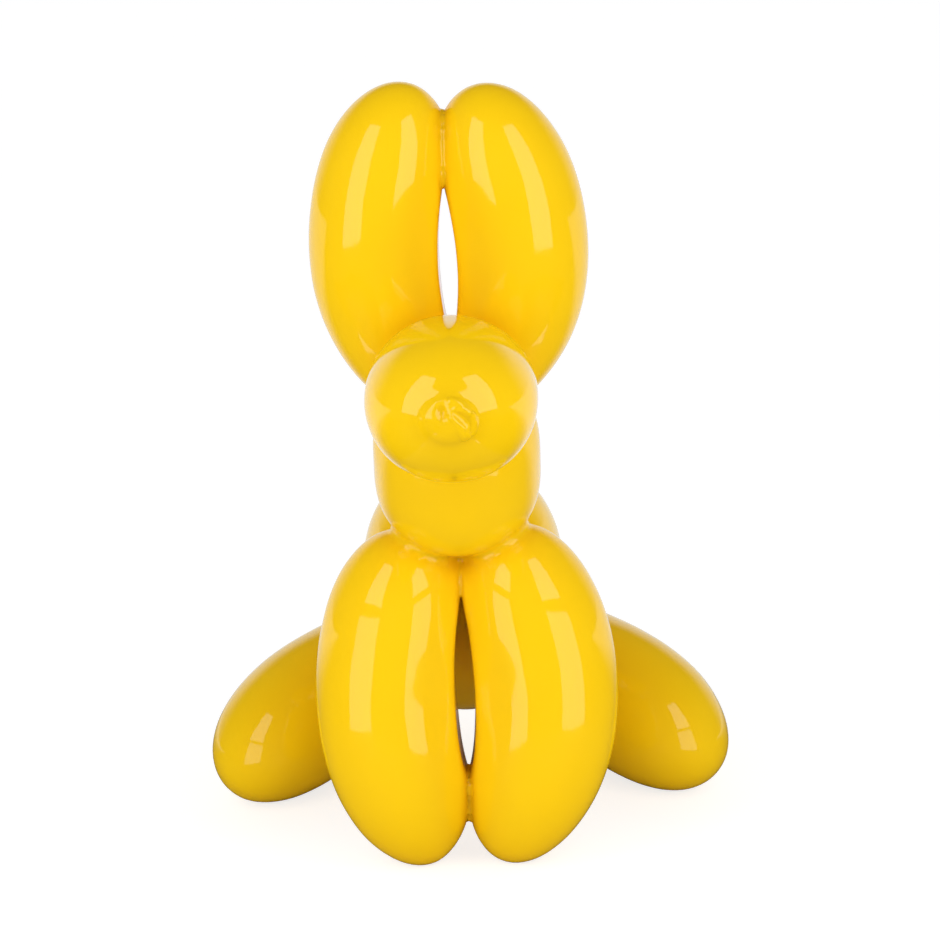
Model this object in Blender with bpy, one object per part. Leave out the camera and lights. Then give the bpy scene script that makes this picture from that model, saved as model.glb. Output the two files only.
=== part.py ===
"""Sitting balloon dog: a glossy resin ornament, cast in one piece in the shape of a twisted balloon.

The dog sits facing -Y and is symmetric about the plane X = 0. It stands on four small flats under its
feet, with the origin at the middle of the bottom of its box. All lengths are in metres, all angles in
degrees. Every bubble of the balloon is a closed tube round a bowed centreline, drawn in at both ends
where the balloon is twisted, and a union makes one body of them all.
"""

import math

import bmesh
import bpy
from mathutils import Vector

# Twist points: how far each lies behind the forefeet, and how high above the floor
HEAD_BACK = -0.011
HEAD_HEIGHT = 0.312
CHEST_BACK = 0.031
CHEST_HEIGHT = 0.208
HIP_BACK = 0.219
HIP_HEIGHT = 0.058

# Snout: an oval bubble that points forwards and slightly up
SNOUT_LENGTH = 0.144
SNOUT_WIDTH = 0.0985
SNOUT_DEPTH = 0.086
SNOUT_PITCH = 4.5
SNOUT_FULLNESS = 2.7

# Knot: the tied end of the balloon on the tip of the snout, with the pit in its rolled lip
KNOT_WIDTH = 0.029
KNOT_PROUD = 0.006
LIP_WIDTH = 0.007
LIP_REACH = 0.009
PIT_WIDTH = 0.006
PIT_LENGTH = 0.011
PIT_DEPTH = 0.005
PIT_ASIDE = 0.0035
PIT_LEAN = 12.0

# Ears: two upright bubbles that bow outwards and meet above and below a narrow slit
EAR_LENGTH = 0.180
EAR_WIDTH = 0.0765
EAR_SPREAD = 0.0875
EAR_END_SPREAD = 0.025
EAR_LEAN = 3.0
EAR_BACK = 0.024
EAR_DROP = 0.015
EAR_FULLNESS = 3.7

# Neck: a short fat bubble whose lower end hangs over the tops of the forelegs
NECK_WIDTH = 0.101
NECK_SINK = 0.007
NECK_FULLNESS = 3.0

# Forelegs: two bubbles that bow outwards from the chest down to the floor
FORELEG_WIDTH = 0.0865
FORELEG_SPREAD = 0.101
FORELEG_END_SPREAD = 0.029
FORELEG_FORWARD = 0.016
FORELEG_FULLNESS = 3.7

# Body: the largest bubble, sloping down from the chest to the hip
BODY_WIDTH = 0.129
BODY_RISE = 0.012
BODY_FULLNESS = 3.3

# Hind legs: two bubbles from the hip outwards and forwards, lying down onto the floor
HIND_LENGTH = 0.204
HIND_WIDTH = 0.0915
HIND_SPLAY = 48.7
HIND_BOW = 0.017
HIND_SIDE_BOW = 0.009
HIND_FULLNESS = 3.2

# Tail: a small bubble that points back and up, with the thin end of the balloon at its tip
TAIL_LENGTH = 0.092
TAIL_WIDTH = 0.050
TAIL_PITCH = 52.0
TAIL_FULLNESS = 2.6
TIP_LENGTH = 0.014
TIP_WIDTH = 0.013

# Webs: the resin that fills the crease where two bubbles touch, as far as the slit between them
WEB_WIDTH = 0.020
WEB_FULLNESS = 4.0
EAR_WEB_TOP = 0.063
EAR_WEB_BOTTOM = 0.040
LEG_WEB_TOP = 0.056
LEG_WEB_BOTTOM = 0.041

# Hearts: the resin in the middle of a twist, where the ends of its bubbles run together
HEART_WIDTH = 0.044

# Flats: how far the floor cuts into the underside of each foot, and the block that cuts it
FLAT_DEPTH = 0.0015
FLOOR_THICKNESS = 0.05

# Facets
SIDES = 24
RINGS = 16
SMALL_SIDES = 16
SMALL_RINGS = 8

RESIN_COLOUR = (0.965, 0.597, 0.009, 1.0)
RESIN_ROUGHNESS = 0.12


class Bubble:
    """One bubble of the balloon: where it starts and ends, how it bows and how fat it is."""

    def __init__(self, name, start, end, width, fullness=3.0, bow=(0, 0, 0), depth=None,
                 across=(1, 0, 0), sides=SIDES, rings=RINGS):
        self.name = name
        self.across = Vector(across)
        self.start = Vector(start)
        self.end = Vector(end)
        self.bow = Vector(bow)
        self.width = width
        self.depth = depth or width
        self.fullness = fullness
        self.sides = sides
        self.rings = rings

    def centre(self, share):
        """The centreline, a parabola that stands off by the bow at the middle."""
        return self.start.lerp(self.end, share) + self.bow * 4 * share * (1 - share)

    def direction(self, share):
        return (self.end - self.start + self.bow * 4 * (1 - 2 * share)).normalized()

    def swell(self, share):
        """The share of the full width that the bubble has there, nothing at its two ends."""
        return math.sqrt(max(0.0, 1 - abs(2 * share - 1) ** self.fullness))

    def points(self):
        """The pole at the start, the rings in order and the pole at the end.

        A ring starts half a facet round, which leaves no corner in the plane of symmetry, where the two
        bubbles of a pair meet.
        """
        result = [self.start.copy()]
        facet = 2 * math.pi / self.sides
        for ring in range(1, self.rings):
            share = (1 - math.cos(math.pi * ring / self.rings)) / 2
            along = self.direction(share)
            across = (self.across - along * self.across.dot(along)).normalized()
            upright = along.cross(across)
            for side in range(self.sides):
                angle = facet * side + facet / 2
                reach = across * (self.width / 2 * math.cos(angle)) + upright * (self.depth / 2 * math.sin(angle))
                result.append(self.centre(share) + reach * self.swell(share))
        result.append(self.end.copy())
        return result

    def lowest(self):
        return min(point.z for point in self.points())

    def lay_on_floor(self):
        """Lowers the end of the bubble until its underside is FLAT_DEPTH under the floor."""
        for _ in range(6):
            self.end.z -= self.lowest() + FLAT_DEPTH
        return self

    def solid(self, shift):
        """The bubble as an object, moved by the shift."""
        bubble = bmesh.new()
        vertices = [bubble.verts.new(point + shift) for point in self.points()]
        rings = [vertices[1 + n * self.sides:1 + (n + 1) * self.sides] for n in range(self.rings - 1)]
        for side in range(self.sides):
            following = (side + 1) % self.sides
            bubble.faces.new((vertices[0], rings[0][following], rings[0][side]))
            bubble.faces.new((vertices[-1], rings[-1][side], rings[-1][following]))
            for lower, upper in zip(rings, rings[1:]):
                bubble.faces.new((lower[side], lower[following], upper[following], upper[side]))
        bmesh.ops.recalc_face_normals(bubble, faces=bubble.faces)
        mesh = bpy.data.meshes.new(self.name)
        bubble.to_mesh(mesh)
        bubble.free()
        mesh.shade_smooth()
        return bpy.data.objects.new(self.name, mesh)


def polar(pitch, azimuth=0.0):
    """A unit vector that rises by the pitch, turned by the azimuth from -Y towards +X."""
    level = math.cos(math.radians(pitch))
    return Vector((level * math.sin(math.radians(azimuth)), -level * math.cos(math.radians(azimuth)),
                   math.sin(math.radians(pitch))))


def twist_points():
    head = Vector((0, HEAD_BACK, HEAD_HEIGHT))
    chest = Vector((0, CHEST_BACK, CHEST_HEIGHT))
    hip = Vector((0, HIP_BACK, HIP_HEIGHT))
    return head, chest, hip


def small_bubble(name, start, end, width, fullness=2.0, **more):
    return Bubble(name, start, end, width, fullness, sides=SMALL_SIDES, rings=SMALL_RINGS, **more)


def snout(head):
    """The snout and, at its tip, the lump of the knot with its rolled lip."""
    forwards = polar(SNOUT_PITCH)
    tip = head + forwards * SNOUT_LENGTH
    lump = small_bubble("knot", tip - forwards * KNOT_WIDTH / 2, tip + forwards * KNOT_PROUD, KNOT_WIDTH)
    crown = tip + forwards * (KNOT_PROUD - LIP_WIDTH / 4)
    upwards = Vector((1, 0, 0)).cross(-forwards)
    over = crown + upwards * LIP_REACH
    aside = crown + Vector((LIP_REACH, 0, 0)) - upwards * LIP_REACH / 2
    round_pit = (Vector((1, 0, 0)) + upwards) * LIP_REACH / 3
    lip = small_bubble("lip", over, aside, LIP_WIDTH, 3.0, bow=round_pit, across=forwards)
    return [Bubble("snout", head, tip, SNOUT_WIDTH, SNOUT_FULLNESS, depth=SNOUT_DEPTH), lump, lip]


def knot_pit(head):
    """The cutter for the pit beside the rolled lip of the knot."""
    forwards = polar(SNOUT_PITCH)
    upwards = Vector((1, 0, 0)).cross(-forwards)
    lean = math.radians(PIT_LEAN)
    along = upwards * math.cos(lean) + Vector((math.sin(lean), 0, 0))
    middle = head + forwards * (SNOUT_LENGTH + KNOT_PROUD) + (upwards - Vector((1, 0, 0))) * PIT_ASIDE
    return small_bubble("pit", middle - along * PIT_LENGTH / 2, middle + along * PIT_LENGTH / 2, PIT_WIDTH,
                        depth=2 * PIT_DEPTH)


def ears(head):
    """The two ears, and the webs above and below the slit between them."""
    base = head + Vector((0, EAR_BACK, -EAR_DROP))
    rise = Vector((0, math.sin(math.radians(EAR_LEAN)), math.cos(math.radians(EAR_LEAN))))
    pair = []
    for name, side in (("ear_right", -1), ("ear_left", 1)):
        out = Vector((side * EAR_END_SPREAD / 2, 0, 0))
        bow = (side * (EAR_SPREAD - EAR_END_SPREAD) / 2, 0, 0)
        pair.append(Bubble(name, base + out, base + out + rise * EAR_LENGTH, EAR_WIDTH, EAR_FULLNESS, bow))

    top = base + rise * EAR_LENGTH
    upper = small_bubble("ear_web_top", top - rise * EAR_WEB_TOP, top - rise * WEB_WIDTH / 2, WEB_WIDTH,
                         WEB_FULLNESS)
    lower = small_bubble("ear_web_bottom", base, base + rise * EAR_WEB_BOTTOM, WEB_WIDTH, WEB_FULLNESS)
    return pair + [upper, lower]


def forelegs(chest):
    """The two forelegs, and the webs above and below the slit between them."""
    top = chest + Vector((0, -FORELEG_FORWARD, 0))
    pair = []
    for name, side in (("foreleg_right", -1), ("foreleg_left", 1)):
        out = Vector((side * FORELEG_END_SPREAD / 2, 0, 0))
        bow = (side * (FORELEG_SPREAD - FORELEG_END_SPREAD) / 2, 0, 0)
        leg = Bubble(name, top + out, out, FORELEG_WIDTH, FORELEG_FULLNESS, bow)
        pair.append(leg.lay_on_floor())

    down = -top.normalized()
    upper = small_bubble("leg_web_top", top + down * LEG_WEB_TOP, top, WEB_WIDTH, WEB_FULLNESS)
    lowest = -down * WEB_WIDTH
    lower = small_bubble("leg_web_bottom", lowest, lowest - down * LEG_WEB_BOTTOM, WEB_WIDTH, WEB_FULLNESS)
    return pair + [upper, lower]


def hind_legs(hip):
    """The two hind legs, splayed outwards and forwards, with the ends of both on the floor."""
    pair = []
    for name, side in (("hind_leg_right", -1), ("hind_leg_left", 1)):
        reach = polar(0, side * HIND_SPLAY) * HIND_LENGTH
        bow = (side * HIND_SIDE_BOW, HIND_SIDE_BOW, HIND_BOW)
        leg = Bubble(name, hip, hip + reach, HIND_WIDTH, HIND_FULLNESS, bow, across=(0, 0, 1))
        pair.append(leg.lay_on_floor())
    return pair


def tail(hip):
    """The tail and the thin end of the balloon at its tip."""
    backwards = polar(TAIL_PITCH, 180)
    end = hip + backwards * TAIL_LENGTH
    bubble = Bubble("tail", hip, end, TAIL_WIDTH, TAIL_FULLNESS)
    tip = small_bubble("tail_tip", end - backwards * TIP_LENGTH, end + backwards * TIP_LENGTH, TIP_WIDTH, 3.0)
    return [bubble, tip]


def heart(name, middle):
    """The heart of a twist."""
    reach = Vector((0, 0, HEART_WIDTH / 2))
    return small_bubble(name, middle - reach, middle + reach, HEART_WIDTH)


def box_cutter(name, size, middle):
    """A box that cuts away what lies under the floor."""
    block = bmesh.new()
    bmesh.ops.create_cube(block, size=1.0)
    bmesh.ops.scale(block, verts=block.verts, vec=size)
    bmesh.ops.translate(block, verts=block.verts, vec=middle)
    mesh = bpy.data.meshes.new(name)
    block.to_mesh(mesh)
    block.free()
    return bpy.data.objects.new(name, mesh)


def resin():
    """Bright yellow resin under a clear glossy lacquer."""
    material = bpy.data.materials.new("yellow_resin")
    material.use_nodes = True
    shader = material.node_tree.nodes["Principled BSDF"]
    shader.inputs["Base Color"].default_value = RESIN_COLOUR
    shader.inputs["Roughness"].default_value = RESIN_ROUGHNESS
    shader.inputs["Metallic"].default_value = 0.0
    return material


def guide(tool):
    """Marks an object that only shapes another."""
    tool.hide_render = True
    tool.display_type = "WIRE"
    return tool


def join(target, tools):
    """One union of the target and all the tools at once."""
    collection = bpy.data.collections.new("joined_bubbles")
    bpy.context.scene.collection.children.link(collection)
    for tool in tools:
        collection.objects.link(guide(tool))
    modifier = target.modifiers.new("join", "BOOLEAN")
    modifier.operation = "UNION"
    modifier.solver = "EXACT"
    modifier.operand_type = "COLLECTION"
    modifier.collection = collection


def cut(target, tool):
    """Takes the tool's shape away from the target."""
    bpy.context.scene.collection.objects.link(guide(tool))
    modifier = target.modifiers.new(tool.name, "BOOLEAN")
    modifier.operation = "DIFFERENCE"
    modifier.solver = "EXACT"
    modifier.object = tool


def build():
    for old in list(bpy.data.objects):
        bpy.data.objects.remove(old)
    for old in list(bpy.data.collections):
        bpy.data.collections.remove(old)
    head, chest, hip = twist_points()
    body = Bubble("balloon_dog", chest + Vector((0, 0, BODY_RISE)), hip, BODY_WIDTH, BODY_FULLNESS)
    neck = Bubble("neck", chest - Vector((0, 0, NECK_SINK)), head, NECK_WIDTH, NECK_FULLNESS)
    joined = [heart("head_twist", head), heart("chest_twist", chest), heart("hip_twist", hip), neck]
    joined += snout(head) + ears(head) + forelegs(chest) + hind_legs(hip) + tail(hip)

    depths = [point.y for bubble in [body] + joined for point in bubble.points()]
    shift = Vector((0, -(min(depths) + max(depths)) / 2, 0))
    dog = body.solid(shift)
    dog.data.materials.append(resin())
    bpy.context.scene.collection.objects.link(dog)
    join(dog, [bubble.solid(shift) for bubble in joined])
    cut(dog, knot_pit(head).solid(shift))

    widths = [abs(point.x) for bubble in joined for point in bubble.points()]
    floor_size = Vector((3 * max(widths), 2 * (max(depths) - min(depths)), FLOOR_THICKNESS))
    cut(dog, box_cutter("floor", floor_size, Vector((0, 0, -FLOOR_THICKNESS / 2))))


build()
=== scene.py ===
# %% [markdown]
# # A sitting balloon dog in yellow resin
#
# The real thing is an ornament. Somebody twisted a long balloon into a dog, made a mould of it and cast
# it in resin, in one hollow piece, and a glossy yellow lacquer went on top. So the shapes are those of a
# balloon, but the creases are a little filled, the surface is slightly wavy, and nothing can move.
#
# The file loads the fixed frame first, then sweeps the bubbles, casts them into one skin with its knot,
# paints it, and sets up the floor, the lights and the camera.

# %% Load the frame
import math

import bmesh
import bpy
import numpy as np
from mathutils import Matrix, Vector


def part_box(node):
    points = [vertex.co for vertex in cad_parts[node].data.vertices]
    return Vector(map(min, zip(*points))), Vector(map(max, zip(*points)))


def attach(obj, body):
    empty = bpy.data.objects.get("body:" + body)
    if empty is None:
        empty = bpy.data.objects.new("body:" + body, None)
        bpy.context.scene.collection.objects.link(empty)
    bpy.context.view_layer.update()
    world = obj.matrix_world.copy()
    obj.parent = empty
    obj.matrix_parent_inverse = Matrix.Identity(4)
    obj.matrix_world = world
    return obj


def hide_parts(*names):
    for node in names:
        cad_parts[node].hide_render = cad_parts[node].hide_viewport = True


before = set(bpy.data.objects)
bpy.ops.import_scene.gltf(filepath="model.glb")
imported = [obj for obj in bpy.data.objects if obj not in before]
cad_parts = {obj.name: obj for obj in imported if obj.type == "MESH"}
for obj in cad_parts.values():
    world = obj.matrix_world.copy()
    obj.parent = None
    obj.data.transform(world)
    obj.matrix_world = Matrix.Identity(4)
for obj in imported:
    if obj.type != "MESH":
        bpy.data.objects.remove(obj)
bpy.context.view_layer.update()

# %% [markdown]
# ## Where things are
#
# Every length below is a real length in metres, drawn for a dog 0.4807 m high. The frame may be a
# little larger or smaller than that, so each drawn length is multiplied by one unit, which comes from
# the height of the frame's box. Places are measured from the forefeet: so far back, so far up.

# %% Unit and places
DRAWN_HEIGHT = 0.4807
KNOT_AHEAD_OF_FOREFEET = 0.16195

low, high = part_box("balloon_dog")
unit = (high.z - low.z) / DRAWN_HEIGHT
forefeet = Vector(((low.x + high.x) / 2, low.y + KNOT_AHEAD_OF_FOREFEET * unit, low.z))


def offset(aside=0.0, back=0.0, up=0.0):
    """A step towards the dog's left, backwards and upwards."""
    return Vector((aside, back, up)) * unit


def reach(pitch, azimuth=0.0):
    """A unit vector that rises by the pitch, turned by the azimuth from forwards towards the left."""
    level = math.cos(math.radians(pitch))
    turn = math.radians(azimuth)
    return Vector((level * math.sin(turn), -level * math.cos(turn), math.sin(math.radians(pitch))))


HEAD = forefeet + offset(back=-0.011, up=0.312)
CHEST = forefeet + offset(back=0.031, up=0.208)
HIP = forefeet + offset(back=0.219, up=0.058)
print("unit", round(unit, 4), "head", HEAD, "chest", CHEST, "hip", HIP)

# %% [markdown]
# ## The bubbles
#
# A twisted balloon is a row of bubbles. Each one runs from twist to twist along a line that bows a
# little, is round or oval in section, and is drawn in at both ends. One rule gives the width along it:
# at a share s of its length it has the share sqrt(1 - |2s - 1|^fullness) of its full width. A fullness
# of 2 is an ellipsoid, and 4 is a sausage with blunt ends. Its two ends may differ.
#
# A scaled sphere could make a straight bubble, but not a bowed one with two different ends. Here each
# bubble is a few sizes, and everything else is worked out from them. Two bubbles that were pressed side
# by side lean on each other, so each of them also knows on which side its neighbour is.

# %% What a bubble is
FLAT_DEPTH = 0.0015


class Bubble:
    """One bubble: its two ends, its width and depth, how blunt its ends are, how its middle stands off,
    and on which side a neighbour is pressed against it (-1 right, 1 left, 0 none)."""

    def __init__(self, name, start, end, width, fullness, bow=(0, 0, 0), depth=None, neighbour=0):
        self.name = name
        self.neighbour = neighbour
        self.start = Vector(start)
        self.end = Vector(end)
        self.bow = Vector(bow)
        self.width = width * unit
        self.depth = (depth or width) * unit
        self.fullness = fullness if isinstance(fullness, tuple) else (fullness, fullness)

    def lowest(self, samples=64):
        """The lowest point of its underside."""
        heights = []
        for step in range(samples + 1):
            share = step / samples
            middle = self.start.lerp(self.end, share) + self.bow * 4 * share * (1 - share)
            along = (self.end - self.start + self.bow * 4 * (1 - 2 * share)).normalized()
            swell = math.sqrt(max(0.0, 1 - abs(2 * share - 1) ** self.fullness[share > 0.5]))
            heights.append(middle.z - self.width / 2 * swell * math.hypot(along.x, along.y))
        return min(heights)

    def lay_on_floor(self, rounds=6):
        """Lowers its far end until its underside is a hair under the floor, where a flat will be."""
        for _ in range(rounds):
            self.end.z -= self.lowest() - forefeet.z + FLAT_DEPTH * unit
        return self


BODY_ABOVE_CHEST = 0.012
NECK_BELOW_CHEST = 0.007

body = Bubble("body", CHEST + offset(up=BODY_ABOVE_CHEST), HIP, width=0.129, fullness=3.3)
neck = Bubble("neck", CHEST - offset(up=NECK_BELOW_CHEST), HEAD, width=0.101, fullness=3.0)
print("trunk:", body.name, neck.name)

# %% [markdown]
# The snout is flattened a little from above. The ears, forelegs and hind legs come in pairs, so each is
# a function of its side: -1 is the dog's right, 1 its left. They bow outwards, and their ends come
# together at the twists. No twisted pair is quite even, so the two ears differ by up to four
# millimetres in where they end, how bowed, how wide and how long they are, and the forelegs by up to six.

# %% Snout, ears and legs
SNOUT_PITCH = 4.5
SNOUT_LENGTH = 0.144
EAR_LEAN = 3.0
EAR_BASE_BACK, EAR_BASE_DOWN = 0.024, 0.0255
EAR_FULLNESS = (2.12, 3.93)
EARS = {-1: {"base": 0.0107, "tip": 0.0135, "bow": 0.0323, "width": 0.0771, "length": 0.1919},
        1: {"base": 0.0106, "tip": 0.0098, "bow": 0.0331, "width": 0.0784, "length": 0.1890}}
FORELEG_TOP_FORWARDS = 0.016
FORELEG_FULLNESS = (4.23, 3.0)
FORELEGS = {-1: {"top": 0.0205, "foot": 0.0191, "bow": 0.0295, "width": 0.0849},
            1: {"top": 0.0178, "foot": 0.0145, "bow": 0.0353, "width": 0.0847}}
HIND_SPLAY = 48.7
HIND_LENGTH = 0.204
HIND_BOW_ASIDE, HIND_BOW_BACK, HIND_BOW_UP = 0.009, 0.009, 0.017

snout_forwards = reach(SNOUT_PITCH)
snout = Bubble("snout", HEAD, HEAD + snout_forwards * SNOUT_LENGTH * unit, width=0.0985, fullness=2.7,
               depth=0.0905)


def ear(side):
    """An ear rises from behind the head, leans back a little and bows outwards."""
    size = EARS[side]
    lean = math.radians(EAR_LEAN)
    base = HEAD + offset(side * size["base"], EAR_BASE_BACK, -EAR_BASE_DOWN)
    tip = base + offset(side * (size["tip"] - size["base"]), math.sin(lean) * size["length"],
                        math.cos(lean) * size["length"])
    return Bubble("ear", base, tip, size["width"], EAR_FULLNESS, bow=offset(side * size["bow"]),
                  neighbour=-side)


def foreleg(side):
    """A foreleg hangs from the chest, bows outwards and stands on the floor."""
    size = FORELEGS[side]
    top = CHEST + offset(side * size["top"], -FORELEG_TOP_FORWARDS)
    foot = forefeet + offset(side * size["foot"])
    leg = Bubble("foreleg", top, foot, size["width"], FORELEG_FULLNESS, bow=offset(side * size["bow"]),
                 neighbour=-side)
    return leg.lay_on_floor()


def hind_leg(side):
    """A hind leg runs from the hip outwards and forwards, and its end lies on the floor."""
    foot = HIP + reach(0, side * HIND_SPLAY) * HIND_LENGTH * unit
    bow = offset(side * HIND_BOW_ASIDE, HIND_BOW_BACK, HIND_BOW_UP)
    leg = Bubble("hind_leg", HIP, foot, width=0.0915, fullness=3.2, bow=bow)
    return leg.lay_on_floor()


ears = [ear(-1), ear(1)]
forelegs = [foreleg(-1), foreleg(1)]
hind_legs = [hind_leg(-1), hind_leg(1)]
print("pairs:", len(ears) + len(forelegs) + len(hind_legs), "bubbles")

# %% [markdown]
# The tail is one short bubble that points up and back, with the balloon's closed tip on it. In the
# middle of each twist the ends of the bubbles run together, and the casting is solid there, so a small
# round heart fills the place where they would leave a gap.

# %% Tail and hearts
TAIL_RISE = 52.0
TAIL_LENGTH = 0.092
TIP_HALF = 0.014
HEART_WIDTH = 0.044

tail_way = reach(TAIL_RISE, 180)
tail_end = HIP + tail_way * TAIL_LENGTH * unit
tail = Bubble("tail", HIP, tail_end, width=0.050, fullness=2.6)
tail_tip = Bubble("tail_tip", tail_end - tail_way * TIP_HALF * unit, tail_end + tail_way * TIP_HALF * unit,
                  width=0.013, fullness=3.0)


def heart(middle):
    """The lump of resin in the middle of a twist."""
    half = offset(up=HEART_WIDTH / 2)
    return Bubble("heart", middle - half, middle + half, width=HEART_WIDTH, fullness=2.0)


hearts = [heart(HEAD), heart(CHEST), heart(HIP)]
bubbles = [body, neck, snout, tail, tail_tip] + hearts + ears + forelegs + hind_legs
print(len(bubbles), "bubbles:", ", ".join(bubble.name for bubble in bubbles))

# %% [markdown]
# ## Sweeping a bubble with Geometry Nodes
#
# A bubble follows a path, so Geometry Nodes suit it. The tree draws a straight line, bends it into its
# bow, and sweeps an oval along it. The field that bends the line and the field that scales the oval
# both start from the same share, which bunches the rings up at the two ends, where the shape turns fast.

# %% Helpers for node trees
def socket(tree, name, kind, value=None, way="INPUT"):
    """Adds a named socket to a tree's interface."""
    made = tree.interface.new_socket(name=name, in_out=way, socket_type=kind)
    if value is not None:
        made.default_value = value
    return made


class Nodes:
    """Short ways to place nodes in a tree, where a value or another node's output fills each input."""

    def __init__(self, tree):
        self.tree = tree

    def add(self, kind, inputs=None, **settings):
        """Adds a node, with its settings, and fills its inputs by name or number."""
        node = self.tree.nodes.new(kind)
        for name, value in settings.items():
            setattr(node, name, value)
        for name, value in (inputs or {}).items():
            if isinstance(value, bpy.types.NodeSocket):
                self.tree.links.new(value, node.inputs[name])
            else:
                node.inputs[name].default_value = value
        return node

    def math(self, operation, first, second=0.0):
        return self.add("ShaderNodeMath", {0: first, 1: second}, operation=operation).outputs[0]

    def vector(self, operation, first, second=(0, 0, 0)):
        return self.add("ShaderNodeVectorMath", {0: first, 1: second}, operation=operation).outputs[0]

    def scaled(self, vector, scale):
        node = self.add("ShaderNodeVectorMath", {0: vector, "Scale": scale}, operation="SCALE")
        return node.outputs[0]


print("node helpers ready")

# %% The tree that sweeps one bubble
POLE_MERGE = 0.00002


def bubble_tree():
    """Sweeps one bubble, from named inputs."""
    tree = bpy.data.node_groups.new("bubble_sweep", "GeometryNodeTree")
    tree.is_modifier = True
    for name in ("Start", "End", "Bow"):
        socket(tree, name, "NodeSocketVector")
    for name in ("Width", "Depth", "Start Fullness", "End Fullness"):
        socket(tree, name, "NodeSocketFloat")
    for name in ("Sides", "Rings"):
        socket(tree, name, "NodeSocketInt")
    socket(tree, "Material", "NodeSocketMaterial")
    socket(tree, "Geometry", "NodeSocketGeometry", way="OUTPUT")
    nodes = Nodes(tree)
    given = nodes.add("NodeGroupInput").outputs
    count = nodes.math("ADD", given["Rings"], 1)
    line = nodes.add("GeometryNodeCurvePrimitiveLine", {"Start": given["Start"], "End": given["End"]})
    points = nodes.add("GeometryNodeResampleCurve", {"Curve": line.outputs[0], "Count": count})

    place_in_line = nodes.add("GeometryNodeSplineParameter").outputs["Index"]
    turn = nodes.math("MULTIPLY", nodes.math("DIVIDE", place_in_line, given["Rings"]), math.pi)
    share = nodes.math("DIVIDE", nodes.math("SUBTRACT", 1.0, nodes.math("COSINE", turn)), 2.0)
    rest = nodes.math("SUBTRACT", 1.0, share)
    straight = nodes.vector("ADD", nodes.scaled(given["Start"], rest), nodes.scaled(given["End"], share))
    stand_off = nodes.math("MULTIPLY", nodes.math("MULTIPLY", share, rest), 4.0)
    bowed = nodes.vector("ADD", straight, nodes.scaled(given["Bow"], stand_off))
    bent = nodes.add("GeometryNodeSetPosition", {"Geometry": points.outputs[0], "Position": bowed})

    from_middle = nodes.math("ABSOLUTE", nodes.math("SUBTRACT", nodes.math("MULTIPLY", share, 2.0), 1.0))
    second_half = nodes.math("GREATER_THAN", share, 0.5)
    change = nodes.math("SUBTRACT", given["End Fullness"], given["Start Fullness"])
    fullness = nodes.math("ADD", given["Start Fullness"], nodes.math("MULTIPLY", second_half, change))
    drawn_in = nodes.math("POWER", from_middle, fullness)
    swell = nodes.math("SQRT", nodes.math("MAXIMUM", nodes.math("SUBTRACT", 1.0, drawn_in), 0.0))
    circle = nodes.add("GeometryNodeCurvePrimitiveCircle", {"Resolution": given["Sides"], "Radius": 0.5})
    section = nodes.add("ShaderNodeCombineXYZ", {"X": given["Width"], "Y": given["Depth"], "Z": 1.0})
    oval = nodes.add("GeometryNodeTransform", {"Geometry": circle.outputs[0], "Scale": section.outputs[0]})
    swept = nodes.add("GeometryNodeCurveToMesh",
                      {"Curve": bent.outputs[0], "Profile Curve": oval.outputs[0], "Scale": swell})
    closed = nodes.add("GeometryNodeMergeByDistance",
                       {"Geometry": swept.outputs[0], "Distance": POLE_MERGE})
    real = nodes.add("GeometryNodeRealizeInstances", {"Geometry": closed.outputs[0]})
    painted = nodes.add("GeometryNodeSetMaterial",
                        {"Geometry": real.outputs[0], "Material": given["Material"]})
    nodes.add("NodeGroupOutput", {"Geometry": painted.outputs[0]})
    return tree


sweep_tree = bubble_tree()
print("bubble tree:", len(sweep_tree.nodes), "nodes")

# %% Sweep every bubble
SWEEP_SIDES = 96
SWEEP_RINGS = 96

resin = bpy.data.materials.new("yellow_resin")


def new_object(name, data):
    """An object at the origin, linked to the scene."""
    made = bpy.data.objects.new(name, data)
    bpy.context.scene.collection.objects.link(made)
    return made


def evaluated_mesh(thing):
    """A plain mesh of an object as its modifiers leave it."""
    graph = bpy.context.evaluated_depsgraph_get()
    return bpy.data.meshes.new_from_object(thing.evaluated_get(graph))


def sweep(bubble):
    """One bubble as a plain closed mesh."""
    thing = new_object(bubble.name, bpy.data.meshes.new(bubble.name))
    modifier = thing.modifiers.new("sweep", "NODES")
    modifier.node_group = sweep_tree
    sockets = {item.name: item.identifier for item in sweep_tree.interface.items_tree
               if item.in_out == "INPUT"}
    values = {"Start": bubble.start, "End": bubble.end, "Bow": bubble.bow, "Width": bubble.width,
              "Depth": bubble.depth, "Start Fullness": float(bubble.fullness[0]),
              "End Fullness": float(bubble.fullness[1]), "Sides": SWEEP_SIDES, "Rings": SWEEP_RINGS,
              "Material": resin}
    for name, value in values.items():
        modifier[sockets[name]] = value
    mesh = evaluated_mesh(thing)
    bpy.data.objects.remove(thing)
    return mesh


balloon = bmesh.new()
for bubble in bubbles:
    swept = sweep(bubble)
    balloon.from_mesh(swept)
    bpy.data.meshes.remove(swept)
bmesh.ops.recalc_face_normals(balloon, faces=balloon.faces)
print("swept balloon:", len(balloon.faces), "faces")

# %% [markdown]
# ## Casting the bubbles into one skin
#
# The bubbles still overlap, and where two of them meet the crease is as sharp as a knife. In the
# casting the creases are soft, because the mould and the lacquer fill them. A Boolean would keep the
# knife edge. A voxel remesh gives one closed skin of even squares, and then each of its points is moved
# onto a smooth surface that is worked out from the same list of bubbles.
#
# The knot has details a tenth the size of a leg, so the squares round the end of the snout are cut into
# smaller ones before that, and so are those along the creases.

# %% One closed skin
SKIN_SQUARE = 0.0034 * unit


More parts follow.
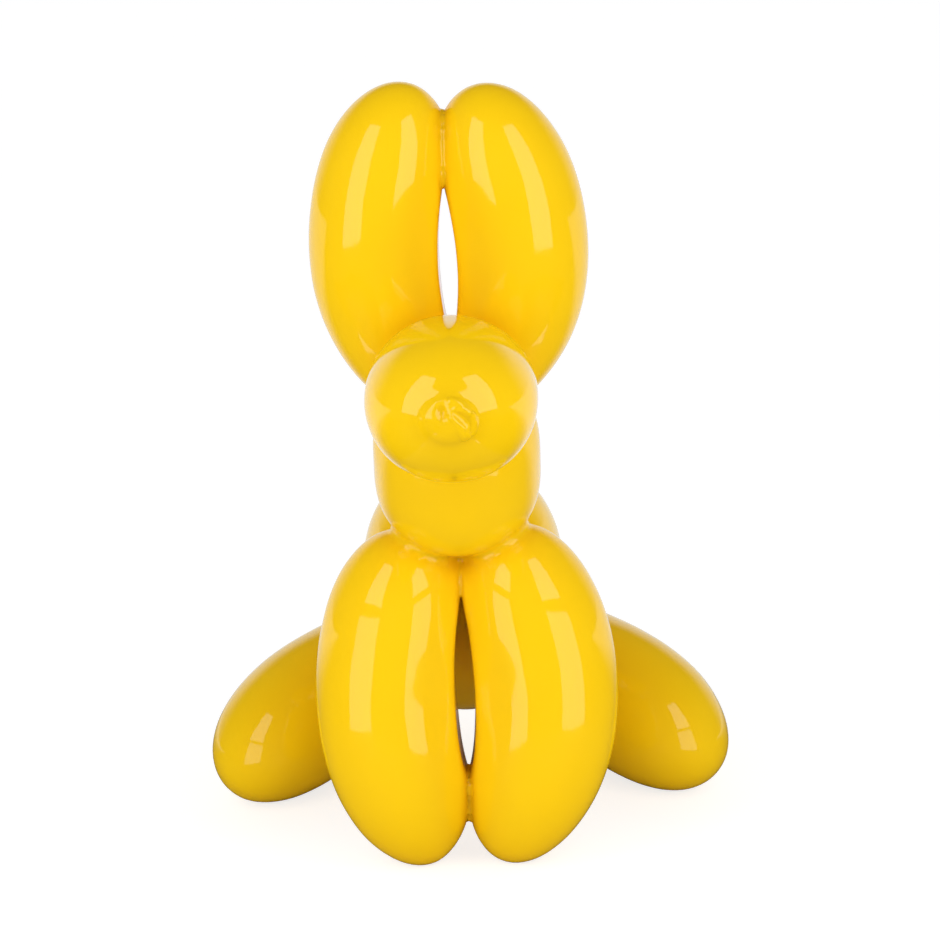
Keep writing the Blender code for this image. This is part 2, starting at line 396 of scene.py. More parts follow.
def remeshed(mesh, size):
    """A voxel remesh of overlapping closed bubbles: one closed skin of squares of that size."""
    thing = new_object("remesh", mesh)
    modifier = thing.modifiers.new("voxels", "REMESH")
    modifier.mode = "VOXEL"
    modifier.voxel_size = size
    made = evaluated_mesh(thing)
    bpy.data.objects.remove(thing)
    return made


def refine(mesh, wanted, cuts):
    """Cuts the squares into smaller ones where a place is wanted finer."""
    shape = bmesh.new()
    shape.from_mesh(mesh)
    near = [face for face in shape.faces if wanted(face.calc_center_median())]
    edges = {edge for face in near for edge in face.edges}
    bmesh.ops.subdivide_edges(shape, edges=list(edges), cuts=cuts, use_grid_fill=True)
    bmesh.ops.triangulate(shape, faces=[face for face in shape.faces if len(face.verts) > 4])
    shape.to_mesh(mesh)
    shape.free()
    return len(near)


overlapping = bpy.data.meshes.new("overlapping_bubbles")
balloon.to_mesh(overlapping)
balloon.free()
skin = remeshed(overlapping, SKIN_SQUARE)
print("skin:", len(skin.vertices), "points")

# %% [markdown]
# ## The smooth surface
#
# The surface is where a distance field is zero: a formula that gives about how far a point is outside
# the dog, less than nothing inside it. Two fields are joined by a soft minimum, which is the lesser of
# the two but rounds off the place where they are equal. Its size is about the width of the fillet.
#
# Two round bubbles side by side would leave a deep cleft. In the casting it is mostly filled: each
# section turns straight where it leans in towards its neighbour, and they meet in a shallow valley.

# %% The distance field of a bubble
PRESSED_TILT = math.radians(36.0)
NEAREST_ROUNDS = 3


def dots(first, second):
    """The dot product of each row."""
    return (first * second).sum(-1)


def field_of(bubble, points):
    """About how far each point is outside the bubble, less than nothing inside it."""
    start, chord, bow = (np.array(part) for part in (bubble.start, bubble.end - bubble.start, bubble.bow))

    def middle_line(share):
        """Which way the middle line runs at a share of its length, and how far each point is off it."""
        along = chord + (4 * (1 - 2 * share))[:, None] * bow
        return along, points - (start + share[:, None] * chord + (4 * share * (1 - share))[:, None] * bow)

    share = (points - start) @ chord / (chord @ chord)
    along, off = middle_line(share)
    for _ in range(NEAREST_ROUNDS if bubble.bow.length else 0):
        share = share + dots(off, along) / (dots(along, along) + 8 * dots(off, bow[None]))
        along, off = middle_line(share)

    half_width, half_depth = bubble.width / 2, bubble.depth / 2
    flat = off[:, 0] / half_width
    others = np.sqrt(np.maximum(dots(off, off) - off[:, 0] ** 2, 0)) / half_depth
    section = np.hypot(flat, others)
    if bubble.neighbour:
        inwards = flat * bubble.neighbour
        sine, cosine = math.sin(PRESSED_TILT), math.cos(PRESSED_TILT)
        section = np.where(inwards * cosine > others * sine, inwards * sine + others * cosine, section)
    from_middle = np.abs(2 * share - 1)
    fullness = np.where(share > 0.5, bubble.fullness[1], bubble.fullness[0])
    level = section ** 2 + from_middle ** fullness - 1
    steep = 2 * fullness * from_middle ** (fullness - 1) / np.sqrt(dots(along, along))
    return level / np.maximum(np.hypot(2 * section / half_width, steep), 1 / half_width)


def soft_union(first, second, size):
    """The lesser of two fields, rounded off where they are nearly equal."""
    near = np.maximum(size - np.abs(first - second), 0) / size
    return np.minimum(first, second) - near ** 2 * size / 4


def soft_cut(first, second, size):
    """The first field without the second, with a rounded rim."""
    return -soft_union(-first, second, size)


print("fields ready")

# %% [markdown]
# The knot is the rolled mouth of the balloon, tied and pressed flat. It is a low mound on the end of
# the snout with a pit where the mouth closes, one fold that runs from the pit down to the dog's left
# with a furrow beside it, and the roll of the mouth, which curls over them. Sculpting would shape it by
# hand. Here each lump is a field again, an oval, a rod or a bent rod, in millimetres aside, up and out
# from the end of the snout.

# %% The knot
MILLIMETRE = 0.001 * unit
KNOT_REGION = 0.027 * unit
KNOT_FILLET = 6.5
FOLD_FILLET = 2.4
MOUND = {"middle": (-0.5, 0, -1.5), "half": (13.6, 11.8, 6.6)}
PIT = {"middle": (-4.2, 6.0, 6.4), "half": (3.3, 5.6, 5.0)}
FOLD = {"start": (2.0, 2.0, 3.6), "end": (8.6, -9.0, 1.2), "radius": 2.6}
FURROW = {"start": (4.2, 4.6, 6.0), "end": (10.5, -1.0, 4.6), "radius": 1.7}
MOUTH_ROLL = {"middle": (5.0, -3.0), "bend": 9.0, "first": 95, "last": -25, "out": (3.6, 0.2), "radius": 1.9}
UPPER_ROLL = {"middle": (-0.5, 0.0), "bend": 10.6, "first": 25, "last": 80, "out": (1.2, 1.2), "radius": 2.0}
knot_aside = np.array((1.0, 0.0, 0.0))
knot_out = np.array(snout_forwards)
knot_up = np.cross(knot_aside, -knot_out)


def oval(points, middle, half):
    """About how far each point is outside an oval lump."""
    scaled = (points - middle) / half
    level = dots(scaled, scaled) - 1
    slope = 2 * np.sqrt(dots(scaled / half, scaled / half))
    return level / np.maximum(slope, 1 / max(half))


def rod(points, start, end, radius):
    """How far each point is outside a straight rod with round ends."""
    start = np.array(start, float)
    chord = np.array(end, float) - start
    share = np.clip((points - start) @ chord / (chord @ chord), 0, 1)
    off = points - start - share[:, None] * chord
    return np.sqrt(dots(off, off)) - radius


def roll(points, middle, bend, first, last, out, radius, pieces=7):
    """A rod bent round a circle, from the first angle to the last, that sinks as it goes."""
    turns = np.radians(np.linspace(first, last, pieces + 1))
    heights = np.linspace(out[0], out[1], pieces + 1)
    path = [(middle[0] + bend * math.cos(turn), middle[1] + bend * math.sin(turn), height)
            for turn, height in zip(turns, heights)]
    return np.min([rod(points, start, end, radius) for start, end in zip(path, path[1:])], axis=0)


def with_knot(whole, points):
    """Adds the knot to the field of the dog."""
    near = np.linalg.norm(points - np.array(snout.end), axis=1) < KNOT_REGION
    local = (points[near] - np.array(snout.end)) @ np.stack((knot_aside, knot_up, knot_out), axis=1)
    local = local / MILLIMETRE
    knot = soft_union(whole[near] / MILLIMETRE, oval(local, **MOUND), KNOT_FILLET)
    for lump in (rod(local, **FOLD), roll(local, **MOUTH_ROLL), roll(local, **UPPER_ROLL)):
        knot = soft_union(knot, lump, FOLD_FILLET)
    for hollow in (oval(local, **PIT), rod(local, **FURROW)):
        knot = soft_cut(knot, hollow, FOLD_FILLET)
    whole[near] = knot * MILLIMETRE
    return whole


print("knot axis", [round(float(part), 3) for part in knot_out])

# %% [markdown]
# No cast surface is perfectly true. The resin shrinks a little as it sets and the surface was rubbed
# down by hand, so it has low waves one to three fingers apart, a tenth of a millimetre high. They
# hardly show by themselves, but the edges of the reflections wander because of them. Many waves that run
# in random directions, added up, make them. Their seed is fixed, so they are the same each time.

# %% Waves in the surface
WAVE_SEED = 11
LENGTHS_FROM, LENGTHS_TO = 0.8, 1.3
LONG_WAVES = {"count": 12, "length": 0.055, "height": 0.00005}
SHORT_WAVES = {"count": 14, "length": 0.022, "height": 0.00001}

random = np.random.default_rng(WAVE_SEED)


def wave_set(count, length, height):
    """Random directions, starts and one height for waves of about one length."""
    ways = random.normal(size=(count, 3))
    ways /= np.linalg.norm(ways, axis=1)[:, None]
    lengths = length * unit * random.uniform(LENGTHS_FROM, LENGTHS_TO, count)
    starts = random.uniform(0, 2 * math.pi, count)
    return ways * (2 * math.pi / lengths)[:, None], starts, height * unit


wave_sets = [wave_set(**LONG_WAVES), wave_set(**SHORT_WAVES)]


def waves(points):
    """How much the surface stands proud at each point."""
    total = np.zeros(len(points))
    for turns, starts, height in wave_sets:
        total += height * np.cos(points @ turns.T + starts).sum(1)
    return total


print("waves:", sum(len(starts) for _, starts, _ in wave_sets))

# %% [markdown]
# In the middle of each pair the valley is open right through: that is the slit between the ears and the
# one between the forelegs. A slit is widest in its middle and runs out to a point above and below, like
# a leaf. A narrow groove runs on from it along the valley, and fades out.
#
# The points of a leaf are finer than the squares of the skin, so a slit is first cut with a least width,
# and only the last rounds of moving the points draw it in to its own outline.

# %% The slits and their grooves
SLIT_RIM = 0.003 * unit
SLOT_HALF = 0.0042 * unit
ROUGH_SLIT_HALF = 0.0046 * unit
GROOVE_HALF = 0.0017 * unit
GROOVE_DEPTH = 0.0022 * unit


class Slit:
    """A leaf-shaped slit through a pair: its two points from the forefeet, its width, how blunt its lower
    end is, and how far its groove runs on below and above it."""

    def __init__(self, pair, low, high, width, bluntness, runs_on):
        self.name = pair + "_slit"
        self.low = forefeet + offset(*low)
        self.high = forefeet + offset(*high)
        self.half = width * unit / 2
        self.bluntness = bluntness
        self.runs_on = runs_on

    def place(self, points):
        """How far along the slit each point is, from 0 at its lower end to 1, and how far aside."""
        share = (points[:, 2] - self.low.z) / (self.high.z - self.low.z)
        return share, points[:, 0] - self.low.x - share * (self.high.x - self.low.x)

    def field(self, points, least):
        """About how far each point is outside the slit, which is nowhere narrower than twice the least."""
        share, aside = self.place(points)
        from_middle = np.abs(2 * share - 1)
        power = np.where(share < 0.5, self.bluntness, 1.0)
        half = self.half * np.maximum(1 - from_middle ** 2, 0) ** power
        beyond = (from_middle - 1) * (self.high.z - self.low.z) / 2
        return np.maximum(np.abs(aside) - np.maximum(half, least), beyond)

    def groove(self, points):
        """How deep the groove is at each point."""
        share, aside = self.place(points)
        below, above = (reach_on * unit for reach_on in self.runs_on)
        heights = (self.low.z - below, self.low.z, self.high.z, self.high.z + above)
        depth = np.interp(points[:, 2], heights, (0, GROOVE_DEPTH, GROOVE_DEPTH, 0))
        return depth * np.exp(-(aside / GROOVE_HALF) ** 2)


ear_slit = Slit("ear", low=(0.0, 0.018, 0.327), high=(-0.0020, 0.018, 0.4230), width=0.0109,
                bluntness=1.0, runs_on=(0.02, 0.012))
foreleg_slit = Slit("foreleg", low=(0.0004, 0.0, 0.0585), high=(-0.0005, 0.0, 0.171), width=0.0122,
                    bluntness=0.6, runs_on=(0.036, 0.02))
slits = [ear_slit, foreleg_slit]
print("slits:", ", ".join(slit.name for slit in slits))

# %% The whole dog
CREASE = 0.006 * unit
PAIR_CREASE = 0.003 * unit
TWIST_CREASE = 0.012 * unit
TWIST_NEAR, TWIST_FAR = 0.045 * unit, 0.070 * unit


def crease_near(points, twist):
    """The width of a pair's fillet: wide round the twist, where the resin ran together, and then narrow."""
    away = np.linalg.norm(points - np.array(twist), axis=1)
    return np.interp(away, (TWIST_NEAR, TWIST_FAR), (TWIST_CREASE, PAIR_CREASE))


def dog_field(points, least=0.0):
    """The whole dog: the trunk, then each pair with its slit, then the knot and the waves."""
    whole = field_of(body, points)
    for bubble in [neck, snout] + hearts + [tail, tail_tip]:
        whole = soft_union(whole, field_of(bubble, points), CREASE)
    for pair, twist, slit in ((ears, HEAD, ear_slit), (forelegs, CHEST, foreleg_slit),
                              (hind_legs, HIP, None)):
        fields = [field_of(bubble, points) for bubble in pair]
        both = soft_union(*fields, crease_near(points, twist))
        if slit:
            both = soft_cut(both + slit.groove(points), slit.field(points, least), SLIT_RIM)
        whole = soft_union(whole, both, CREASE)
    return with_knot(whole, points) - waves(points)


print("field at the head, in mm:", round(float(dog_field(np.array([HEAD]))[0]) * 1000, 1))

# %% [markdown]
# The points now slide onto that surface. Each round evens them out among their neighbours and then
# moves each one along the slope of the field, by as much as the field says that it is off. The slope
# is measured at the four corners of a tiny tetrahedron, because the formula has no simple derivative.
#
# The first skin has to move by some millimetres in the filled creases, which bunches its squares up. So
# it is settled roughly and remeshed. Then a slot is cut through it where each slit comes, and it is
# remeshed once more, cut finer along the creases and at the knot, and settled for good.

# %% Move the skin onto the smooth surface
PROBE = 0.0002 * unit
CORNERS = np.array([(1, -1, -1), (-1, -1, 1), (-1, 1, -1), (1, 1, 1)], float)
ROUGH_ROUNDS = 6
SETTLE_ROUNDS = 6
CREASE_REGION = 0.0055 * unit
CREASE_BEHIND = 0.12 * unit
CREASE_CUTS = 2
SLOT_DEPTH = 0.10 * unit
SLOT_CUTS = 24
KNOT_CUTS = 3


def mesh_values(items, name, width, kind=float):
    """One value of every point or edge of a mesh, as rows of an array."""
    values = np.empty(len(items) * width, kind)
    items.foreach_get(name, values)
    return values.reshape(-1, width)


def slope_of(field, points):
    """Which way a field rises at each point."""
    return sum(corner * field(points + corner * PROBE)[:, None] for corner in CORNERS) / (4 * PROBE)


def neighbours_mean(points, edges):
    """For each point, the mean of the points that it shares an edge with."""
    count = np.bincount(edges.ravel(), minlength=len(points))
    total = np.empty_like(points)
    for axis in range(3):
        total[:, axis] = (np.bincount(edges[:, 0], points[edges[:, 1], axis], len(points))
                          + np.bincount(edges[:, 1], points[edges[:, 0], axis], len(points)))
    return total / count[:, None]


def settle(mesh, field, rounds):
    """Evens the points out along the surface, and moves each one straight onto it."""
    points = mesh_values(mesh.vertices, "co", 3)
    edges = mesh_values(mesh.edges, "vertices", 2, np.int64)
    for _ in range(rounds):
        points += (neighbours_mean(points, edges) - points) / 2
        slope = slope_of(field, points)
        points -= (field(points) / dots(slope, slope))[:, None] * slope
    points[:, 2] = np.maximum(points[:, 2], forefeet.z)
    mesh.vertices.foreach_set("co", points.ravel())
    mesh.update()
    return np.abs(field(points[points[:, 2] > forefeet.z]))


def rough_field(points):
    """The whole dog with its slits at their least width."""
    return dog_field(points, ROUGH_SLIT_HALF)


def cut_slot(mesh, slit):
    """Cuts a plain slot through the skin where a slit comes."""
    slot = bmesh.new()
    bmesh.ops.create_cube(slot, size=1.0)
    bmesh.ops.subdivide_edges(slot, edges=slot.edges[:], cuts=SLOT_CUTS, use_grid_fill=True)
    size = Vector((2 * SLOT_HALF, SLOT_DEPTH, slit.high.z - slit.low.z))
    bmesh.ops.scale(slot, vec=size, verts=slot.verts)
    bmesh.ops.translate(slot, vec=(slit.low + slit.high) / 2, verts=slot.verts)
    cutter = new_object(slit.name, bpy.data.meshes.new(slit.name))
    slot.to_mesh(cutter.data)
    slot.free()
    thing = new_object("slotted", mesh)
    modifier = thing.modifiers.new("slot", "BOOLEAN")
    modifier.operation = "DIFFERENCE"
    modifier.object = cutter
    made = evaluated_mesh(thing)
    for old in (thing, cutter):
        bpy.data.objects.remove(old)
    return made


def is_near_crease(place):
    """Whether a place is in the valley of the ears or the forelegs."""
    return abs(place.x - forefeet.x) < CREASE_REGION and place.y < HIP.y - CREASE_BEHIND


def is_near_knot(place):
    """Whether a place is on the end of the snout."""
    return (place - snout.end).length < KNOT_REGION


settle(skin, rough_field, ROUGH_ROUNDS)
skin = remeshed(skin, SKIN_SQUARE)
for slit in slits:
    skin = cut_slot(skin, slit)
skin = remeshed(skin, SKIN_SQUARE)
for wanted, cuts in ((is_near_crease, CREASE_CUTS), (is_near_knot, KNOT_CUTS)):
    print(wanted.__name__, refine(skin, wanted, cuts), "squares cut finer")
left_over = settle(skin, dog_field, SETTLE_ROUNDS)
print("99 in 100 points lie within", round(float(np.quantile(left_over, 0.99)) * 1000, 4), "mm")

# %% [markdown]
# The colour is painted deeper in the creases, partly for lacquer that ran together there and partly as
# painted shade. So each point keeps a number for how hollow its place is: it looks out from the surface by
# eight millimetres, and the nearer another part of the dog is to that spot, the more hollow the place is.
# The material reads the number as an attribute, as the mask of that painted shade.

# %% How hollow each place is
LOOK_OUT = 0.008 * unit


def keep_hollows(mesh, field):
    """Keeps on each point how much of the way straight out another part of the surface takes."""
    points = mesh_values(mesh.vertices, "co", 3)
    slope = slope_of(field, points)
    outwards = slope / np.sqrt(dots(slope, slope))[:, None]
    # This hollowness is the mask of the painted crease shade in the resin's colour.
    hollow = np.clip(1 - field(points + outwards * LOOK_OUT) / LOOK_OUT, 0, 1)
    mesh.attributes.new("hollow", "FLOAT", "POINT").data.foreach_set("value", hollow)
    return hollow


print("hollow on average:", round(float(keep_hollows(skin, dog_field).mean()), 3))

# %% The casting as a piece
skin.shade_smooth()
casting = new_object("balloon_dog_casting", skin)
print("casting:", sum(len(face.vertices) - 2 for face in skin.polygons), "triangles")

# %% [markdown]
# ## The resin
#
# Under the lacquer the resin is a strong warm yellow. The lacquer on top is clear and nearly as smooth as
# glass, but it was sprayed, so a fine orange peel bends the reflections, and it ran together a little
# in the creases. The colour there is painted deeper, partly for that lacquer and partly as painted shade.
#
# Each effect is a group of nodes with named inputs, which puts out a colour, a roughness or a height.
# Their patterns are placed by Object coordinates, so they stay on the dog.

# %% The colour of the resin under its lacquer, with painted crease shade
RESIN = (0.93, 0.575, 0.004, 1.0)
PALER_RESIN = (0.96, 0.61, 0.006, 1.0)
# Painted shade: the deep amber that the hollows are painted towards, and how far, for pooled lacquer and for
# the shade in the creases.
CREASE_SHADE_COLOUR = (0.80, 0.40, 0.001, 1.0)
CLOUD_SIZE = 0.07
CREASE_SHADE_SHARE = 0.35
MIX_SHARE, MIX_FIRST, MIX_SECOND, MIX_COLOUR = 0, 6, 7, 2


def shader_group(name, inputs, output, kind):
    """An empty shader group with its inputs and one output, and short ways to its nodes."""
    group = bpy.data.node_groups.new(name, "ShaderNodeTree")
    for label, (socket_kind, value) in inputs.items():
        socket(group, label, socket_kind, value)
    socket(group, output, kind, way="OUTPUT")
    nodes = Nodes(group)
    given = nodes.add("NodeGroupInput").outputs
    return group, nodes, given


def noise_of(nodes, size, detail=2.0):
    """Noise on Object coordinates, with lumps of about that size in metres."""
    place = nodes.add("ShaderNodeTexCoord").outputs["Object"]
    scale = nodes.math("DIVIDE", 1.0, size)
    noise = nodes.add("ShaderNodeTexNoise", {"Vector": place, "Scale": scale, "Detail": detail})
    return noise.outputs[0]


def colour_mix(nodes, share, first, second):
    """Blends two colours. A Mix node has its colour sockets at the places named above."""
    inputs = {MIX_SHARE: share, MIX_FIRST: first, MIX_SECOND: second}
    return nodes.add("ShaderNodeMix", inputs, data_type="RGBA").outputs[MIX_COLOUR]


def resin_and_crease_shade_group():
    """Resin with faint paler clouds, and deeper in the hollows, partly pooled lacquer and partly painted
    crease shade.
    """
    group, nodes, given = shader_group("resin_and_crease_shade", {
        "Resin": ("NodeSocketColor", RESIN), "Paler": ("NodeSocketColor", PALER_RESIN),
        "Crease Shade": ("NodeSocketColor", CREASE_SHADE_COLOUR), "Cloud Size": ("NodeSocketFloat", CLOUD_SIZE),
        "Crease Shade Share": ("NodeSocketFloat", CREASE_SHADE_SHARE)}, "Color", "NodeSocketColor")
    clouds = noise_of(nodes, given["Cloud Size"])
    cloudy = colour_mix(nodes, clouds, given["Resin"], given["Paler"])
    # Painted shade: the colour is drawn towards the crease shade colour where the place is hollow.
    hollow = nodes.add("ShaderNodeAttribute", attribute_name="hollow").outputs["Fac"]
    crease_shade = nodes.math("MULTIPLY", hollow, given["Crease Shade Share"])
    nodes.add("NodeGroupOutput", {"Color": colour_mix(nodes, crease_shade, cloudy, given["Crease Shade"])})
    return group


resin_and_crease_shade = resin_and_crease_shade_group()
print("colour group:", len(resin_and_crease_shade.nodes), "nodes")

# %% [markdown]
# The lacquer isn't a perfect mirror. Where it was rubbed with a cloth its roughness changes a little over
# a few fingers' width, and sprayed lacquer dries to a fine orange peel some thousandths of a millimetre
# high.

# %% The gloss of the lacquer
POLISH_SIZE = 0.045
SMOOTHEST, ROUGHEST = 0.045, 0.085
NOISE_FROM, NOISE_TO = 0.3, 0.7
PEEL_SIZE = 0.0035
PEEL_HEIGHT = 0.000004


def polish_group():
    """The roughness of hand-rubbed lacquer."""
    group, nodes, given = shader_group("hand_polish", {
        "Size": ("NodeSocketFloat", POLISH_SIZE), "Lowest": ("NodeSocketFloat", SMOOTHEST),
        "Highest": ("NodeSocketFloat", ROUGHEST)}, "Roughness", "NodeSocketFloat")
    ramp = {"Value": noise_of(nodes, given["Size"]), "From Min": NOISE_FROM, "From Max": NOISE_TO,
            "To Min": given["Lowest"], "To Max": given["Highest"]}
    rubbed = nodes.add("ShaderNodeMapRange", ramp)
    nodes.add("NodeGroupOutput", {"Roughness": rubbed.outputs[0]})
    return group


def peel_group():
    """The relief of sprayed lacquer."""
    group, nodes, given = shader_group("orange_peel", {"Size": ("NodeSocketFloat", PEEL_SIZE)}, "Height",
                                       "NodeSocketFloat")
    nodes.add("NodeGroupOutput", {"Height": noise_of(nodes, given["Size"], detail=1.0)})
    return group


gloss_groups = [polish_group(), peel_group()]
print("gloss groups:", ", ".join(group.name for group in gloss_groups))

# %% Material
SPECULAR_LEVEL = 0.5


def paint_resin(material):
    """Yellow resin under a clear glossy lacquer."""
    material.use_nodes = True
    nodes = Nodes(material.node_tree)
    shader = material.node_tree.nodes["Principled BSDF"]
    shader.inputs["Specular IOR Level"].default_value = SPECULAR_LEVEL

    def placed(group):
        return nodes.add("ShaderNodeGroup", node_tree=group).outputs[0]

    polish, peel = (placed(group) for group in gloss_groups)
    bump = nodes.add("ShaderNodeBump", {"Height": peel, "Distance": PEEL_HEIGHT * unit})
    for name, value in (("Base Color", placed(resin_and_crease_shade)), ("Roughness", polish),
                        ("Normal", bump.outputs[0])):
        material.node_tree.links.new(value, shader.inputs[name])
    return material


paint_resin(resin)
skin.materials.clear()
skin.materials.append(resin)

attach(casting, "root")
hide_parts("balloon_dog")
print("resin:", len(resin.node_tree.nodes), "nodes")

# %% [markdown]
# ## Floor and room
#
# The floor is a plain pale table under soft light. To the camera it is white and only the contact shadows
# show. As a source of light it is pale grey. In the dog's reflections it is dark near the dog, as if
# under a hood of dark cloth, and white far behind it. The room is white behind the dog and dark in
# front of it. These are ordinary ways to light a glossy thing: the white behind gives it pale rims, and
# the dark in front keeps its colour deep.

# %% Floor
FLOOR_SIDE = 40
FLOOR_SHOWN = 0.42
FLOOR_GLOW = 0.76
FLOOR_SENT_BACK = 0.80
FLOOR_MIRRORED = 0.10
WHITE_FLOOR = 0.85
WHITE_FLOOR_FROM, WHITE_FLOOR_TO = 0.10, 0.50


def floor_material():
    """White to the camera, pale grey as a source of light, and dark near the dog in its reflections."""
    material = bpy.data.materials.new("pale_floor")
    material.use_nodes = True
    material.node_tree.nodes.clear()
    nodes = Nodes(material.node_tree)

    def matt(albedo):
        return nodes.add("ShaderNodeBsdfDiffuse", {"Color": (albedo, albedo, albedo, 1)}).outputs[0]

    def choose(which, otherwise, chosen):
        return nodes.add("ShaderNodeMixShader", {0: which, 1: otherwise, 2: chosen}).outputs[0]

    def glowing(albedo, strength):
        glow = nodes.add("ShaderNodeEmission", {"Color": (1, 1, 1, 1), "Strength": strength})
        return nodes.add("ShaderNodeAddShader", {0: matt(albedo), 1: glow.outputs[0]}).outputs[0]

    place = nodes.add("ShaderNodeTexCoord").outputs["Object"]
    back = nodes.add("ShaderNodeSeparateXYZ", {0: place}).outputs["Y"]
    ramp = {"Value": back, "From Min": WHITE_FLOOR_FROM, "From Max": WHITE_FLOOR_TO, "To Max": WHITE_FLOOR}
    white_behind = nodes.add("ShaderNodeMapRange", ramp, interpolation_type="SMOOTHSTEP").outputs[0]
    path = nodes.add("ShaderNodeLightPath").outputs
    surface = choose(path["Is Glossy Ray"], matt(FLOOR_SENT_BACK), glowing(FLOOR_MIRRORED, white_behind))
    surface = choose(path["Is Camera Ray"], surface, glowing(FLOOR_SHOWN, FLOOR_GLOW))
    nodes.add("ShaderNodeOutputMaterial", {"Surface": surface})
    return material


bpy.ops.mesh.primitive_plane_add(size=FLOOR_SIDE, location=(0, 0, forefeet.z))
floor = bpy.context.active_object
floor.name = "floor"
floor.data.materials.append(floor_material())
print("floor at", forefeet.z)

# %% Room
ROOM_FRONT = 0.05
ROOM_BACK = 0.9
WHITE_FROM, WHITE_TO = 0.35, 0.90
CEILING_FROM, CEILING_TO = 0.25, 0.60
RING_FILL = 1.05
BACK_FILL = 0.60


def room():
    """White behind the dog and dark in front in its reflections, and a ring of fill for its matt colour."""
    world = bpy.data.worlds.new("studio")
    bpy.context.scene.world = world
    world.use_nodes = True
    world.node_tree.nodes.clear()
    nodes = Nodes(world.node_tree)
    way = nodes.add("ShaderNodeTexCoord").outputs["Generated"]
    parts = nodes.add("ShaderNodeSeparateXYZ", {0: way}).outputs

    def ramp(value, start, end, first, last):
        inputs = {"Value": value, "From Min": start, "From Max": end, "To Min": first, "To Max": last}
        return nodes.add("ShaderNodeMapRange", inputs, interpolation_type="SMOOTHSTEP").outputs[0]

    def choose(which, otherwise, chosen):
        return nodes.add("ShaderNodeMix", {"Factor": which, "A": otherwise, "B": chosen}).outputs["Result"]

    behind = ramp(parts["Y"], WHITE_FROM, WHITE_TO, ROOM_FRONT, ROOM_BACK)
    mirrored = choose(ramp(parts["Z"], CEILING_FROM, CEILING_TO, 0, 1), behind, ROOM_FRONT)
    level = nodes.math("SUBTRACT", 1.0, nodes.math("POWER", parts["Z"], 2.0))
    backwards = nodes.math("POWER", nodes.math("MAXIMUM", parts["Y"], 0.0), 2.0)
    fill = nodes.math("ADD", nodes.math("MULTIPLY", level, RING_FILL),
                      nodes.math("MULTIPLY", backwards, BACK_FILL))
    path = nodes.add("ShaderNodeLightPath").outputs
    strength = choose(path["Is Camera Ray"], choose(path["Is Diffuse Ray"], mirrored, fill), 1.0)
    sky = nodes.add("ShaderNodeBackground", {"Color": (1, 1, 1, 1), "Strength": strength})
    nodes.add("ShaderNodeOutputWorld", {"Surface": sky.outputs[0]})
    return world


print("room:", room().name)

# %% [markdown]
# ## Lights
#
# The photographer had a tall strip softbox on each side in front, and their reflections run down the
# ears, the snout and the forelegs. Each is two lights here, one above the other, the lower one nearer.
# The plain light from above and all round is the room's.

# %% Softboxes
UPPER_SOFTBOX = {"distance": 0.50, "inner": 28, "outer": 62, "bottom": 0.35, "top": 1.05,
                 "radiance": 1.95}
LOWER_SOFTBOX = {"distance": 0.40, "inner": 30, "outer": 65, "bottom": 0.0, "top": 0.25,
                 "radiance": 1.6}
AIM = offset(back=-0.03)


def area_light(name, middle, target, width, height, radiance):
    """A one-sided area light of a given brightness, which faces a target and which no camera sees."""
    light = bpy.data.lights.new(name, "AREA")
    light.shape = "RECTANGLE"
    light.size = width
    light.size_y = height
    light.energy = radiance * math.pi * width * height
    lamp = new_object(name, light)
    lamp.location = middle
    lamp.rotation_mode = "QUATERNION"
    lamp.rotation_quaternion = (Vector(target) - Vector(middle)).to_track_quat("-Z", "Y")
    lamp.visible_camera = False
    return lamp


def softbox(name, side, distance, inner, outer, bottom, top, radiance):
    """An upright softbox between two azimuths at one distance in front of the dog."""
    foot = forefeet + AIM
    inner_end = foot + reach(0, side * inner) * distance * unit
    outer_end = foot + reach(0, side * outer) * distance * unit
    middle = (inner_end + outer_end) / 2
    middle.z = forefeet.z + (bottom + top) / 2 * unit
    target = Vector((foot.x, foot.y, middle.z))
    width = (outer_end - inner_end).length
    return area_light(name, middle, target, width, (top - bottom) * unit, radiance)


for side, side_name in ((-1, "right"), (1, "left")):
    softbox("softbox_upper_" + side_name, side, **UPPER_SOFTBOX)
    softbox("softbox_lower_" + side_name, side, **LOWER_SOFTBOX)

# %% [markdown]
# The lower softboxes would also show in the ears and the snout, which are above them. A photographer
# holds a black card in front of what shouldn't be mirrored. Here a level card on each side hides them
# from above. Only the dog's reflections see it, and from below it is clear.

# %% Black cards
CARD_HEIGHT = 0.25
CARD_ASIDE = (0.060, 0.50)
CARD_BACK = (-0.60, -0.15)


def card_material():
    """Black from above and clear from below."""
    material = bpy.data.materials.new("black_card")
    material.use_nodes = True
    material.node_tree.nodes.clear()
    nodes = Nodes(material.node_tree)
    black = nodes.add("ShaderNodeBsdfDiffuse", {"Color": (0, 0, 0, 1)}).outputs[0]
    clear = nodes.add("ShaderNodeBsdfTransparent").outputs[0]
    under = nodes.add("ShaderNodeNewGeometry").outputs["Backfacing"]
    surface = nodes.add("ShaderNodeMixShader", {0: under, 1: black, 2: clear}).outputs[0]
    nodes.add("ShaderNodeOutputMaterial", {"Surface": surface})
    return material


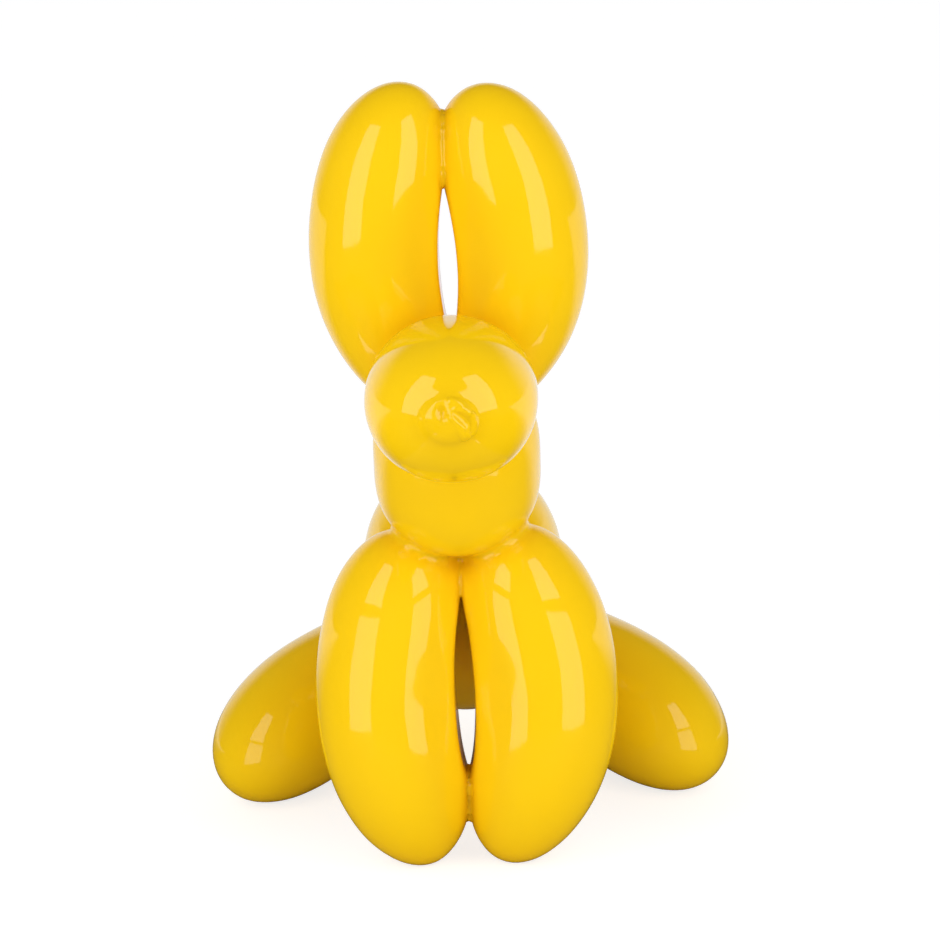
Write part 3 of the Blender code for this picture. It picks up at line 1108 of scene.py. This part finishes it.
def black_card(name, side, material):
    """A level card on one side, which only the dog's reflections see."""
    near, far = (side * aside for aside in CARD_ASIDE)
    front, behind = CARD_BACK
    corners = [(near, front), (far, front), (far, behind), (near, behind)]
    points = [Vector((x, y, 0)) * unit + Vector((forefeet.x, 0, forefeet.z + CARD_HEIGHT * unit))
              for x, y in corners[::side]]
    mesh = bpy.data.meshes.new(name)
    mesh.from_pydata(points, [], [(0, 1, 2, 3)])
    mesh.materials.append(material)
    card = new_object(name, mesh)
    card.visible_camera = False
    card.visible_diffuse = False
    card.visible_shadow = False
    return card


card_black = card_material()
cards = [black_card("card_" + name, side, card_black) for side, name in ((-1, "right"), (1, "left"))]
print("cards:", len(cards), "facing up:", [card.data.polygons[0].normal.z > 0 for card in cards])

# %% [markdown]
# ## Camera
#
# The photograph was taken with a long lens from a little above and a hair to the dog's left, and the
# camera leaned by two degrees. The picture was then cropped, which the small shift stands for.

# %% Camera
CAMERA_DISTANCE = 1.774
CAMERA_AZIMUTH = 1.10
CAMERA_ELEVATION = 16.27
CAMERA_LEAN = 0.0372
CAMERA_LENS = 113.2
SENSOR_WIDTH = 36.0
CAMERA_TARGET_HEIGHT = 0.234
PICTURE_SIDE = 940
TARGET_PIXEL = (457.9, 498.7)


def photo_camera():
    """The camera of the photograph."""
    data = bpy.data.cameras.new("camera")
    data.lens = CAMERA_LENS
    data.sensor_width = SENSOR_WIDTH
    data.shift_x = (PICTURE_SIDE / 2 - TARGET_PIXEL[0]) / PICTURE_SIDE
    data.shift_y = (TARGET_PIXEL[1] - PICTURE_SIDE / 2) / PICTURE_SIDE
    camera = new_object("camera", data)
    back = reach(CAMERA_ELEVATION, CAMERA_AZIMUTH)
    right = back.cross(Vector((0, 0, -1))).normalized()
    up = (back.cross(right) + right * CAMERA_LEAN).normalized()
    right = up.cross(back)
    turn = Matrix((right, up, back)).transposed().to_4x4()
    turn.translation = forefeet + offset(up=CAMERA_TARGET_HEIGHT) + back * CAMERA_DISTANCE * unit
    camera.matrix_world = turn
    bpy.context.scene.camera = camera
    return camera


print("camera at", photo_camera().matrix_world.translation)
bpy.context.scene.view_settings.view_transform = "Standard"
